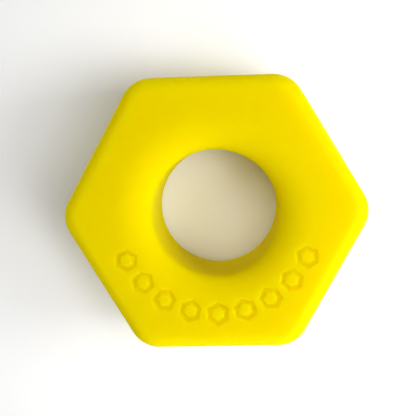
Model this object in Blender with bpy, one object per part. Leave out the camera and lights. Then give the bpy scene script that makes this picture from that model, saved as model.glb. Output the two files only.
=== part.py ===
"""A thick hexagonal stretch ring, moulded in one piece from soft silicone rubber.

Seen from above it is a hexagon with rounded corners, two of them on the X axis. A round bore runs
through its middle along Z, and flares out widely towards both faces. The outer edges are slightly
rounded. The upper face has an arc of small sunk hexagon outlines, centred on -Y.

Frame: the origin is at the middle of the bore, on the plane that the ring rests on. +Z is up,
along the bore. All lengths are in metres.
"""

import math

import bmesh
import bpy
from mathutils import Matrix, Vector

MM = 0.001

# The ring, relaxed.
ACROSS_FLATS = 50.0 * MM  # between two opposite side flats
HEIGHT = 22.0 * MM  # from face to face
BORE_DIAMETER = 23.5 * MM  # at its narrowest, half-way up
MOUTH_WIDTH = 6.5 * MM  # how far each mouth of the bore reaches out from the bore
MOUTH_DEPTH = 3.5 * MM  # how far it reaches down from the face
CORNER_RADIUS = 5.9 * MM  # rounding where two side flats meet, seen from above
EDGE_RADIUS = 2.5 * MM  # rounding from each face to the sides

# The sunk marks on the upper face.
MARK_COUNT = 9
MARK_PITCH = math.radians(16.0)  # from one mark to the next, around the bore
MARK_ACROSS_FLATS = 3.7 * MM
MARK_STROKE = 0.7 * MM  # width of the sunk line
MARK_DEPTH = 0.4 * MM
MARK_MIDDLE = math.radians(270.0)  # direction of the middle mark, from +X towards +Y

# How many straight steps each round stretch is made of.
CORNER_STEPS = 8
EDGE_STEPS = 5
MOUTH_STEPS = 8
BORE_STEPS = 72

SIDES = 6
SIDE_ANGLE = math.tau / SIDES
QUARTER_TURN = math.tau / 4
CUT_MARGIN = 1.0 * MM  # how far a cutter stands past the face that it cuts
MERGE_DISTANCE = 0.001 * MM

# Yellow silicone rubber, dull, as a linear colour.
SILICONE_COLOUR = (0.73, 0.59, 0.0, 1.0)
SILICONE_ROUGHNESS = 0.7


def clear_scene():
    """Removes every object, so that the file holds only this part."""
    for thing in list(bpy.data.objects):
        bpy.data.objects.remove(thing, do_unlink=True)


def new_object(name, shape, smooth=False):
    """Turns a bmesh into an object with its faces pointing out."""
    bmesh.ops.recalc_face_normals(shape, faces=shape.faces)
    mesh = bpy.data.meshes.new(name)
    shape.to_mesh(mesh)
    shape.free()
    if smooth:
        mesh.shade_smooth()
    thing = bpy.data.objects.new(name, mesh)
    bpy.context.scene.collection.objects.link(thing)
    return thing


def make_helper(thing):
    """Makes an object a helper: drawn as wire, and never part of the ring."""
    thing.hide_render = True
    thing.display_type = "WIRE"


def subtract(thing, name, cutter, may_cross_itself=False):
    """Cuts the cutter out of an object with a live Boolean."""
    boolean = thing.modifiers.new(name, "BOOLEAN")
    boolean.operation = "DIFFERENCE"
    boolean.use_self = may_cross_itself
    boolean.object = cutter


def raise_faces(shape, faces, height):
    """Extrudes faces straight up, which closes them into a solid."""
    grown = bmesh.ops.extrude_face_region(shape, geom=faces)
    upper = [item for item in grown["geom"] if isinstance(item, bmesh.types.BMVert)]
    bmesh.ops.translate(shape, verts=upper, vec=(0.0, 0.0, height))


def hexagon_outline():
    """The ring's outline seen from above, counter-clockwise: an arc for each corner."""
    centre_distance = (ACROSS_FLATS / 2 - CORNER_RADIUS) / math.cos(SIDE_ANGLE / 2)
    points = []
    for corner in range(SIDES):
        towards = corner * SIDE_ANGLE
        centre = centre_distance * Vector((math.cos(towards), math.sin(towards), 0.0))
        for step in range(CORNER_STEPS + 1):
            turn = towards + SIDE_ANGLE * (step / CORNER_STEPS - 0.5)
            points.append(centre + CORNER_RADIUS * Vector((math.cos(turn), math.sin(turn), 0.0)))
    return points


def bore_profile():
    """Half of the bore's section as (radius, height), from below the ring to above it.

    A quarter of an ellipse comes in from the lower face, a straight stretch follows, and
    another quarter goes out to the upper face. Both ends close on the axis, clear of the faces.
    """
    radius = BORE_DIAMETER / 2
    lower = []
    for step in range(MOUTH_STEPS + 1):
        turn = QUARTER_TURN * step / MOUTH_STEPS
        out = MOUTH_WIDTH * (1 - math.sin(turn))
        up = MOUTH_DEPTH * (1 - math.cos(turn))
        lower.append((radius + out, up))
    upper = [(out, HEIGHT - up) for out, up in reversed(lower)]
    mouth = radius + MOUTH_WIDTH
    below = [(0.0, -CUT_MARGIN), (mouth, -CUT_MARGIN)]
    above = [(mouth, HEIGHT + CUT_MARGIN), (0.0, HEIGHT + CUT_MARGIN)]
    return below + lower + upper + above


def bore_plug(name):
    """The solid that fills the bore and its mouths: the profile, turned around Z."""
    shape = bmesh.new()
    points = [shape.verts.new((out, 0.0, up)) for out, up in bore_profile()]
    lines = [shape.edges.new(ends) for ends in zip(points, points[1:])]
    bmesh.ops.spin(
        shape,
        geom=points + lines,
        cent=(0.0, 0.0, 0.0),
        axis=(0.0, 0.0, 1.0),
        angle=math.tau,
        steps=BORE_STEPS,
        use_merge=True,
    )
    bmesh.ops.remove_doubles(shape, verts=shape.verts, dist=MERGE_DISTANCE)
    return new_object(name, shape, smooth=True)


def plain_ring(name):
    """The ring without marks: a hexagonal block, rounded at its edges, with the bore cut out.

    The bore's cutter is a child of the ring, so that the two move together.
    """
    shape = bmesh.new()
    base = shape.faces.new([shape.verts.new(point) for point in hexagon_outline()])
    raise_faces(shape, [base], HEIGHT)
    ring = new_object(name, shape, smooth=True)

    rounding = ring.modifiers.new("rounded_edges", "BEVEL")
    rounding.width = EDGE_RADIUS
    rounding.segments = EDGE_STEPS
    rounding.limit_method = "ANGLE"
    rounding.angle_limit = math.radians(60.0)

    plug = bore_plug(name + "_bore_plug")
    plug.parent = ring
    make_helper(plug)
    subtract(ring, "bore", plug)
    return ring


def add_mark(shape, placement):
    """Adds a hexagonal tube to a bmesh, along placement's Z: the cutter of one mark.

    It reaches from the depth of the bore's mouth to above the ring, so it is longer than needed.
    Two of its side walls face along placement's X.
    """
    corner_distance = MARK_ACROSS_FLATS / 2 / math.cos(SIDE_ANGLE / 2)
    made = bmesh.ops.create_circle(
        shape, cap_ends=True, segments=SIDES, radius=corner_distance, matrix=placement
    )
    middle = made["verts"][0].link_faces[0]
    line = bmesh.ops.inset_individual(
        shape, faces=[middle], thickness=MARK_STROKE, use_even_offset=True
    )
    bmesh.ops.delete(shape, geom=[middle], context="FACES_ONLY")
    raise_faces(shape, line["faces"], MOUTH_DEPTH + CUT_MARGIN)


def mark_cutters():
    """What the marks take out: the tubes, less a plain ring lowered by the marks' depth.

    The lowered ring gives every mark the same depth, on the flat face and on the rounded mouth.
    Enlarged marks may run into their neighbours, so the tubes may cross each other.
    """
    # The marks stand midway between the bore's wall and the side flats.
    distance = (BORE_DIAMETER / 2 + ACROSS_FLATS / 2) / 2
    shape = bmesh.new()
    outwards = Matrix.Translation((distance, 0.0, HEIGHT - MOUTH_DEPTH))
    corner_first = Matrix.Rotation(SIDE_ANGLE / 2, 4, "Z")
    for number in range(MARK_COUNT):
        turn = MARK_MIDDLE + MARK_PITCH * (number - (MARK_COUNT - 1) / 2)
        add_mark(shape, Matrix.Rotation(turn, 4, "Z") @ outwards @ corner_first)
    cutters = new_object("mark_cutters", shape)
    make_helper(cutters)

    floor = plain_ring("mark_floor")
    floor.location.z = -MARK_DEPTH
    make_helper(floor)
    subtract(cutters, "even_depth", floor, may_cross_itself=True)
    return cutters


def yellow_silicone():
    """The ring's one material."""
    material = bpy.data.materials.new("yellow_silicone")
    material.use_nodes = True
    shader = material.node_tree.nodes["Principled BSDF"]
    shader.inputs["Base Color"].default_value = SILICONE_COLOUR
    shader.inputs["Roughness"].default_value = SILICONE_ROUGHNESS
    shader.inputs["Metallic"].default_value = 0.0
    return material


def build():
    """The finished ring."""
    clear_scene()
    ring = plain_ring("ring")
    ring.data.materials.append(yellow_silicone())
    subtract(ring, "sunk_marks", mark_cutters())


build()
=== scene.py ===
# %% [markdown]
# # A soft hexagonal silicone ring
#
# This lesson dresses a finished CAD part: a thick hexagonal stretch ring, moulded in one piece
# from yellow silicone rubber. The CAD solid has the right sizes, but its curves are cut into
# flats and its colour is plain. Here it gets a fine skin, a silicone finish, a floor, soft light
# and a camera. The CAD part is loaded first, as a fixed frame, and every size that it knows is
# read from it and not typed again.

# %% Load the frame
import math

import bpy
import numpy as np
from mathutils import Matrix, Vector


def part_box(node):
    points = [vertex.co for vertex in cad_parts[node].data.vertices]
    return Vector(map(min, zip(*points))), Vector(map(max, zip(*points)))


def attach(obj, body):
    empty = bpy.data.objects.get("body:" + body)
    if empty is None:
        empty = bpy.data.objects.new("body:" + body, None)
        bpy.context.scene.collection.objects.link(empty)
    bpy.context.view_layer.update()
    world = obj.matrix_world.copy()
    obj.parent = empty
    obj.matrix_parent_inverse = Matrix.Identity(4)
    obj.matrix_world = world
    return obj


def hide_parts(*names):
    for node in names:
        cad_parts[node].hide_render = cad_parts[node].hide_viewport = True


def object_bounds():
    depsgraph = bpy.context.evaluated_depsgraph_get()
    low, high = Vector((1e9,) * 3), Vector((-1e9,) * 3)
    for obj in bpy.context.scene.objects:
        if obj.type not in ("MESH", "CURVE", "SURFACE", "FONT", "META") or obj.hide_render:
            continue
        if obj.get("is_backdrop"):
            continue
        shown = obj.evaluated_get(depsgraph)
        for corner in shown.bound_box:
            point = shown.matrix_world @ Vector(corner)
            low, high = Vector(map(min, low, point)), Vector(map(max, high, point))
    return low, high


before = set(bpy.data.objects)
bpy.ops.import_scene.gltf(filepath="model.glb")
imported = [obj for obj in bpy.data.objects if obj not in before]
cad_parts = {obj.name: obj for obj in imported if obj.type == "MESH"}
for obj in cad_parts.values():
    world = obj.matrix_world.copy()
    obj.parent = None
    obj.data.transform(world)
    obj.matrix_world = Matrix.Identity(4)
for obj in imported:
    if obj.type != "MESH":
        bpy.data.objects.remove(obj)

MM = 0.001
cad_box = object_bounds()
low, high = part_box("ring")
HEIGHT = high.z - low.z
APOTHEM = (high.y - low.y) / 2
print(f"ring: {2 * APOTHEM / MM:.1f} mm across flats, {HEIGHT / MM:.1f} mm high")

# %% [markdown]
# ## The sizes of the ring's rounded forms
#
# A mould for soft rubber has no sharp inner corners, because the rubber would tear there when the
# ring is pulled off its core. So every edge of the real ring is an arc. The box of the CAD part
# gives the height and the width. A box can't tell how an edge is rounded, so the radii and the
# bore are written here, as on the drawing of the part.

# %% Rounded forms
BORE_RADIUS = 11.75 * MM
MOUTH_WIDTH = 6.5 * MM  # how far each mouth reaches out from the bore
MOUTH_DEPTH = 3.5 * MM  # how far it reaches down from the face
CORNER_RADIUS = 5.9 * MM  # where two side flats meet
EDGE_RADIUS = 2.5 * MM  # from each face to the sides
SIDES = 6
SIDE_ANGLE = math.tau / SIDES
QUARTER_TURN = math.tau / 4
MOUTH_END = BORE_RADIUS + MOUTH_WIDTH
CORNER_CENTRE = (APOTHEM - CORNER_RADIUS) / math.cos(SIDE_ANGLE / 2)
print(f"the faces are flat from {MOUTH_END / MM:.2f} to {(APOTHEM - EDGE_RADIUS) / MM:.2f} mm out")

# %% [markdown]
# ## The outline seen from above
#
# The outline could be drawn as a hexagon and bevelled. A formula does better here: each row of
# the skin can have its own outline, moved in by any amount, and all rows share the same
# directions from the axis, so they join without a twist.


# %% Outline as a function of direction
def outline_radius(direction, inset):
    """Distance from the axis to the hexagon's outline, moved in by inset, in each direction.

    Along a side flat it is (apothem - inset) / cos(angle to that flat's normal). Round a corner
    it is the far crossing of a ray with the corner's circle, whose centre is on the corner's own
    direction: centre * cos(a) + sqrt(radius^2 - (centre * sin(a))^2), where a is the angle to it.
    """
    from_corner = (direction + SIDE_ANGLE / 2) % SIDE_ANGLE - SIDE_ANGLE / 2
    along_flat = (APOTHEM - inset) / np.cos(SIDE_ANGLE / 2 - np.abs(from_corner))
    radius = CORNER_RADIUS - inset
    under_root = radius**2 - (CORNER_CENTRE * np.sin(from_corner)) ** 2
    round_corner = CORNER_CENTRE * np.cos(from_corner) + np.sqrt(np.maximum(under_root, 0.0))
    corner_ends = np.arctan2(
        radius * math.sin(SIDE_ANGLE / 2), CORNER_CENTRE + radius * math.cos(SIDE_ANGLE / 2)
    )
    return np.where(np.abs(from_corner) < corner_ends, round_corner, along_flat)


print(f"corner to corner: {2 * outline_radius(0.0, 0.0) / MM:.1f} mm")

# %% [markdown]
# ## The sunk marks
#
# One face carries an arc of small sunk hexagon outlines. On a real ring such marks stand proud in
# the mould, so the rubber's walls are soft and the floors keep the same depth. They could be cut
# with a Boolean, but that leaves long thin triangles and knife edges. Instead the skin itself is
# pressed down: a depth is worked out for every point, and the skin is made fine enough to show it.

# %% Sizes of the marks
MARK_COUNT = 9
MARK_PITCH = math.radians(16.0)
MARK_MIDDLE = math.radians(270.0)  # direction of the middle mark, from +X towards +Y
MARK_ACROSS_FLATS = 3.7 * MM
MARK_STROKE = 0.7 * MM
MARK_DEPTH = 0.4 * MM
MARK_SOFTNESS = 0.3 * MM  # the width over which a mark's wall falls
MARK_RADIUS = (BORE_RADIUS + APOTHEM) / 2
MARK_REACH = MARK_ACROSS_FLATS / 2 / math.cos(SIDE_ANGLE / 2) + MARK_SOFTNESS
MARKS_START = MARK_RADIUS - MARK_REACH
MARKS_END = MARK_RADIUS + MARK_REACH
print(f"marks lie {MARKS_START / MM:.1f} to {MARKS_END / MM:.1f} mm out")


# %% Depth of the marks
def smooth_step(x):
    """Rises from 0 to 1 while x goes from 0 to 1, flat at both ends: 3 x^2 - 2 x^3."""
    x = np.clip(x, 0.0, 1.0)
    return x * x * (3 - 2 * x)


def mark_depth(direction, radius):
    """How far the face is pressed in at a point given by its direction and its distance.

    Each point is measured from the middle of its nearest mark: u outwards, v around. The size of
    the hexagon through it is the larger of |v| and |u| cos 30 + |v| sin 30. The depth is full
    where that size is near the line's middle, and falls to nothing past half the line's width.
    """
    turn = (direction - MARK_MIDDLE + math.pi) % math.tau - math.pi
    last = (MARK_COUNT - 1) / 2
    nearest = np.clip(np.round(turn / MARK_PITCH + last) - last, -last, last)
    away = turn - nearest * MARK_PITCH
    u = np.abs(radius * np.cos(away) - MARK_RADIUS)
    v = np.abs(radius * np.sin(away))
    half_across = np.maximum(v, u * math.cos(SIDE_ANGLE / 2) + v * math.sin(SIDE_ANGLE / 2))
    from_line = np.abs(half_across - (MARK_ACROSS_FLATS - MARK_STROKE) / 2)
    inside = (MARK_STROKE + MARK_SOFTNESS) / 2 - from_line
    return MARK_DEPTH * smooth_step(inside / MARK_SOFTNESS)


# %% [markdown]
# ## The section
#
# Cut the ring in half and its section is one closed line: up the bore, round its mouth, out over
# the face, round the edge, down the side, and the same again underneath. Every point of that line
# becomes one row of the skin. Near the bore a row is a circle and outside it is a hexagon, so
# each row holds a share that says how much of each it is. Half-way down the side runs a hair-thin
# seam, which the two halves of a mould always leave.

# %% How many rows
THROAT_ROWS = 4
MOUTH_ROWS = 24
FACE_ROWS = 7
EDGE_ROWS = 12
SIDE_ROWS = 14
MARK_ROW_STEP = 0.11 * MM  # between rows where the marks are
MARKED_FACE_ROWS = 30
SEAM_HEIGHT = 0.05 * MM
SEAM_WIDTH = 0.12 * MM


# %% Rows of half the section
def half_section(fine):
    """Rows from the middle of the bore, over one face, to the middle of the sides.

    Returns four arrays: the hexagon's share, the circle's radius, the outline's inset, and the
    height above the ring's middle. The mouth is a quarter of an ellipse, the edge a quarter
    circle. With fine, the rows crowd together where the marks are.
    """
    half = HEIGHT / 2
    throat = np.linspace(0.0, half - MOUTH_DEPTH, THROAT_ROWS, endpoint=False)
    mouth = MOUTH_END - MOUTH_WIDTH * np.cos(np.linspace(0.0, QUARTER_TURN, MOUTH_ROWS))
    edge = EDGE_RADIUS * (1 - np.sin(np.linspace(0.0, QUARTER_TURN, EDGE_ROWS)))
    face_rows = FACE_ROWS
    if fine:
        steps = round((MOUTH_END - MARKS_START) / MARK_ROW_STEP)
        crowded = np.linspace(MARKS_START, MOUTH_END, steps)
        mouth = np.append(mouth[mouth < MARKS_START - MARK_ROW_STEP], crowded)
        face_rows = MARKED_FACE_ROWS
    face_share = np.linspace(0.0, 1.0, face_rows + 1)[1:-1]
    mouth_drop = 1 - np.sqrt(1 - ((MOUTH_END - mouth) / MOUTH_WIDTH) ** 2)
    edge_height = half - EDGE_RADIUS + np.sqrt(EDGE_RADIUS**2 - (EDGE_RADIUS - edge) ** 2)
    # The side's rows crowd towards the seam, as squares of even steps.
    side_height = (half - EDGE_RADIUS) * np.linspace(1.0, 0.0, SIDE_ROWS + 1)[1:] ** 2
    seam = SEAM_HEIGHT * np.exp(-((side_height / SEAM_WIDTH) ** 2))

    share = [0 * throat, 0 * mouth, face_share, 1 + 0 * edge, 1 + 0 * side_height]
    circle = [BORE_RADIUS + 0 * throat, mouth, MOUTH_END + 0 * face_share, 0 * edge, 0 * seam]
    inset = [0 * throat, 0 * mouth, EDGE_RADIUS + 0 * face_share, edge, -seam]
    mouth_height = half - MOUTH_DEPTH * mouth_drop
    height = [throat, mouth_height, half + 0 * face_share, edge_height, side_height]
    return [np.concatenate(part) for part in (share, circle, inset, height)]


# %% [markdown]
# ## The two halves
#
# The lower half is the upper one turned over, without marks, so its rows can be wider apart. Its
# rows run back from the side to the bore. The middle rows of the bore and of the side belong to
# both halves, and are kept once.

# %% All rows
upper = half_section(fine=True)
lower = [rows[-2:0:-1] for rows in half_section(fine=False)]
share, circle, inset = (np.concatenate(pair)[:, None] for pair in zip(upper[:3], lower[:3]))
height = np.append(upper[3], -lower[3])[:, None]
print(f"{len(height)} rows, {len(upper[3])} of them on the marked half")

# %% [markdown]
# ## The directions
#
# The directions around the axis are the second parameter. They are close together over the arc
# of marks, where the skin has to be fine, and about a degree apart elsewhere.

# %% Directions around the axis
FINE_STEP = math.radians(0.38)
PLAIN_STEP = math.radians(1.2)


def directions():
    """All directions around the axis: close together over the marks, and wider elsewhere."""
    reach = MARK_PITCH * MARK_COUNT / 2
    rest = math.tau - 2 * reach
    marked = np.linspace(-reach, reach, round(2 * reach / FINE_STEP), endpoint=False)
    plain = np.linspace(reach, reach + rest, round(rest / PLAIN_STEP), endpoint=False)
    return MARK_MIDDLE + np.append(marked, plain)


print(f"{len(directions())} directions")

# %% [markdown]
# ## The skin
#
# Rows and directions together give every point at once, as whole arrays. The grid closes on
# itself both ways, like a tyre, so the skin has no seam, no pole and no open edge.


# %% Points of the skin
def ring_points():
    """Every point of the skin: the row's circle and outline, mixed by its share, then pressed in.

    radius = (1 - share) * circle + share * outline(direction, inset), and the marks lower the
    points of the upper half by their depth.
    """
    around = directions()[None, :]
    radius = (1 - share) * circle + share * outline_radius(around, inset)
    z = HEIGHT / 2 + height - np.where(height > 0, mark_depth(around, radius), 0.0)
    return np.stack([radius * np.cos(around), radius * np.sin(around), z], axis=-1)


# %% A closed grid as a mesh
def closed_grid(name, points):
    """An object with a four-sided face between each point and its neighbours, both ways round."""
    index = np.arange(points.shape[0] * points.shape[1]).reshape(points.shape[:2])
    onward = np.roll(index, -1, axis=1)
    corners = [index, onward, np.roll(onward, -1, axis=0), np.roll(index, -1, axis=0)]
    mesh = bpy.data.meshes.new(name)
    mesh.from_pydata(points.reshape(-1, 3), [], np.stack(corners, axis=-1).reshape(-1, 4))
    mesh.shade_smooth()
    thing = bpy.data.objects.new(name, mesh)
    bpy.context.scene.collection.objects.link(thing)
    return thing


# %% Build the ring
ring = closed_grid("silicone_ring", ring_points())
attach(ring, "root")
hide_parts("ring")
print(f"skin: {len(ring.data.polygons)} faces")

# %% [markdown]
# ## Writing a material as sums
#
# A material is a graph of nodes. Long graphs are easier to read as formulas, so a small class
# wraps a node's output: adding or multiplying two of them adds the Math node that does it. One
# method makes every other kind of node.


# %% Node helper
class Wire:
    """One output of a material's node tree. Operators on it add Math nodes."""

    def __init__(self, socket):
        self.socket = socket

    @staticmethod
    def node(tree, kind, settings, values, output=0):
        """Adds any node: its settings first, then the value or the link of each socket."""
        made = tree.nodes.new(kind)
        for name, value in settings.items():
            setattr(made, name, value)
        for name, value in values.items():
            if isinstance(value, Wire):
                tree.links.new(value.socket, made.inputs[name])
            else:
                made.inputs[name].default_value = value
        return Wire(made.outputs[output])

    def math(self, operation, first, second):
        settings = {"operation": operation}
        return Wire.node(self.socket.id_data, "ShaderNodeMath", settings, {0: first, 1: second})

    def __add__(self, other):
        return self.math("ADD", self, other)

    def __radd__(self, other):
        return self.math("ADD", other, self)

    def __mul__(self, other):
        return self.math("MULTIPLY", self, other)

    def __rmul__(self, other):
        return self.math("MULTIPLY", other, self)


# %% [markdown]
# ## The silicone's patterns
#
# Three noises in the object's own space are enough. The pigment is stirred in by hand, so the
# tone drifts a little over the ring. Handling leaves faint smudges, which are slightly glossier.
# The mould is blasted to a fine matt, which prints a grain on the rubber that is only felt as
# dullness from afar.

# %% Patterns
YELLOW = (0.72, 0.58, 0.0, 1.0)
LIGHT_YELLOW = (0.74, 0.60, 0.0, 1.0)
TONE_SCALE = 70.0  # one drift of tone in about 14 mm
SMUDGE_SCALE = 160.0
GRAIN_SCALE = 4200.0  # one grain in about a quarter of a millimetre
GRAIN_HEIGHT = 0.006 * MM


def noise(tree, scale, detail):
    """A noise from 0 to 1 over the object's own space, one wave in 1 / scale metres."""
    place = Wire.node(tree, "ShaderNodeTexCoord", {}, {}, "Object")
    values = {"Vector": place, "Scale": scale, "Detail": detail}
    return Wire.node(tree, "ShaderNodeTexNoise", {}, values, "Fac")


# %% [markdown]
# ## The silicone itself
#
# Silicone lets light in, which comes out again a few millimetres away, coloured by the pigment.
# That softens every shadow and makes thin edges glow. A plain diffuse colour would look like
# paint, so the shader scatters light below the surface. Red light travels furthest in it, green
# a little less, and blue hardly at all. Yellow light also comes back from just under the skin, so
# the highlights are tinted yellow instead of white.

# %% Silicone finish
LEAST_ROUGHNESS = 0.62
SMUDGE_ROUGHNESS = 0.12
GRAIN_ROUGHNESS = 0.06
SILICONE_INDEX = 1.41  # refractive index of silicone rubber
GLOSS = 0.1  # well below the usual 0.5, because the matt skin shows hardly any highlight
HIGHLIGHT_TINT = (1.0, 1.0, 0.0, 1.0)
SCATTER_REACH = 8.0 * MM
SCATTER_SHARES = (1.0, 0.8, 0.1)  # how far red, green and blue go, as shares of the reach
MIX_A, MIX_B, MIX_RESULT = 6, 7, 2  # a Mix node's colour sockets, which share names with others


def silicone():
    """Yellow silicone rubber: dull, slightly uneven in tone, and translucent at its edges."""
    material = bpy.data.materials.new("yellow_silicone")
    material.use_nodes = True
    tree = material.node_tree
    grain = noise(tree, GRAIN_SCALE, detail=2.0)
    tone = {"Factor": noise(tree, TONE_SCALE, detail=2.0), MIX_A: YELLOW, MIX_B: LIGHT_YELLOW}
    bump = {"Distance": GRAIN_HEIGHT, "Height": grain}
    roughness = SMUDGE_ROUGHNESS * noise(tree, SMUDGE_SCALE, detail=3.0) + LEAST_ROUGHNESS
    varying = {
        "Base Color": Wire.node(tree, "ShaderNodeMix", {"data_type": "RGBA"}, tone, MIX_RESULT),
        "Roughness": roughness + GRAIN_ROUGHNESS * grain,
        "Normal": Wire.node(tree, "ShaderNodeBump", {}, bump),
    }
    constant = {
        "IOR": SILICONE_INDEX,
        "Specular IOR Level": GLOSS,
        "Specular Tint": HIGHLIGHT_TINT,
        "Subsurface Weight": 1.0,
        "Subsurface Radius": SCATTER_SHARES,
        "Subsurface Scale": SCATTER_REACH,
    }
    inputs = tree.nodes["Principled BSDF"].inputs
    for name, wire in varying.items():
        tree.links.new(wire.socket, inputs[name])
    for name, value in constant.items():
        inputs[name].default_value = value
    print(f"{material.name}: {len(tree.nodes)} nodes")
    return material


ring.data.materials.append(silicone())

# %% [markdown]
# ## The floor
#
# The ring lies on a plain white surface. One large face does for it, at the height of the ring's
# lowest point. It is matt, so that it shows soft shadows and no mirror image of the ring.

# %% Floor
FLOOR_HALF = 5.0
FLOOR_WHITE = (0.97, 0.97, 0.97, 1.0)
FLOOR_ROUGHNESS = 0.9

floor_mesh = bpy.data.meshes.new("floor")
signs = [(-1, -1), (1, -1), (1, 1), (-1, 1)]
floor_corners = [(FLOOR_HALF * x, FLOOR_HALF * y, low.z) for x, y in signs]
floor_mesh.from_pydata(floor_corners, [], [range(4)])
floor = bpy.data.objects.new("floor", floor_mesh)
bpy.context.scene.collection.objects.link(floor)
floor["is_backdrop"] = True

white = bpy.data.materials.new("matt_white")
white.use_nodes = True
white_inputs = white.node_tree.nodes["Principled BSDF"].inputs
white_inputs["Base Color"].default_value = FLOOR_WHITE
white_inputs["Roughness"].default_value = FLOOR_ROUGHNESS
floor_mesh.materials.append(white)
print(f"floor: {2 * FLOOR_HALF:.0f} m square")

# %% [markdown]
# ## Soft light
#
# A single lamp would give a hard, dark shadow. A studio uses several soft boxes instead. Here
# two stand one above the other on the right: they shade the bore's mouth, and their nearness
# makes the right side of the ring brighter than the left. A low one at the front right slants the
# shadow. A top light, two weak fills and an even white surround keep the shadow pale. Each lamp
# is given by its direction, its distance, and the light that it brings to the ring. A lamp twice
# as far needs four times the power for that, and twice the size to stay as soft.

# %% Lamps
SURROUND = 0.2
FULL_POWER = 40.0  # watts of a lamp of strength 1 at a distance of 1 m
LAMP_SIZE = 0.45  # diameter as a share of the distance
LAMPS = [  # name, azimuth from +X in degrees, elevation in degrees, distance in metres, strength
    ("right_lower", 0, 35, 0.3, 0.12),
    ("right_upper", -20, 55, 0.3, 0.07),
    ("front_low", -50, 15, 0.2, 0.12),
    ("top_light", 0, 75, 0.2, 0.06),
    ("back_fill", 135, 55, 1.0, 0.05),
    ("left_fill", 225, 15, 1.0, 0.02),
]


def add_lamp(name, azimuth, elevation, distance, strength):
    """Adds a round lamp that looks at the origin, and can't itself be seen by the camera."""
    light = bpy.data.lights.new(name, "AREA")
    light.shape = "DISK"
    light.size = LAMP_SIZE * distance
    light.energy = FULL_POWER * strength * distance**2
    lamp = bpy.data.objects.new(name, light)
    tilt = Matrix.Rotation(math.radians(90 - elevation), 4, "Y")
    turn = Matrix.Rotation(math.radians(azimuth), 4, "Z")
    lamp.matrix_world = turn @ tilt @ Matrix.Translation((0.0, 0.0, distance))
    lamp.visible_camera = False
    bpy.context.scene.collection.objects.link(lamp)


# %% Switch on the light
for lamp in LAMPS:
    add_lamp(*lamp)
room = bpy.data.worlds.new("room")
room.use_nodes = True
room.node_tree.nodes["Background"].inputs["Color"].default_value = (1.0, 1.0, 1.0, 1.0)
room.node_tree.nodes["Background"].inputs["Strength"].default_value = SURROUND
bpy.context.scene.world = room
print(f"{len(LAMPS)} lamps")

# %% [markdown]
# ## The camera
#
# The camera looks almost straight down into the bore, from about 0.15 m, held a little off the
# axis and not quite level. From so near, the lower parts of the ring look clearly smaller than
# its face. Its place and its three angles are set directly: pitch tips it towards -Y, yaw towards
# -X, and roll turns the picture. The Standard view transform shows colours as they are.

# %% Camera
CAMERA_PLACE = Vector((6.4, 15.2, 153.5)) * MM
PITCH = math.radians(6.04)
YAW = math.radians(3.27)
ROLL = math.radians(1.78)
SENSOR_WIDTH = 36.0  # mm
LENS = 63.4  # focal length in mm
NEAREST = 5.0 * MM

camera_data = bpy.data.cameras.new("camera")
camera_data.sensor_width = SENSOR_WIDTH
camera_data.lens = LENS
camera_data.clip_start = NEAREST
camera = bpy.data.objects.new("camera", camera_data)
bpy.context.scene.collection.objects.link(camera)
look = Vector((-math.sin(YAW), -math.sin(PITCH) * math.cos(YAW), -math.cos(PITCH) * math.cos(YAW)))
right = look.cross(Vector((math.sin(ROLL), math.cos(ROLL), 0.0))).normalized()
turned = Matrix((right, right.cross(look), -look)).transposed().to_4x4()
camera.matrix_world = Matrix.Translation(CAMERA_PLACE) @ turned
bpy.context.scene.camera = camera
bpy.context.scene.view_settings.view_transform = "Standard"
print(f"camera {CAMERA_PLACE.length / MM:.0f} mm from the origin")

# %% [markdown]
# ## The two sizes
#
# The skin has to fill the CAD part's box and no more. Both boxes are written down, to be compared.

# %% Sizes, and the end
visual_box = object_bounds()
for name, box in (("CAD", cad_box), ("visual", visual_box)):
    print(name, " x ".join(f"{(b - a) / MM:.2f}" for a, b in zip(*box)), "mm")
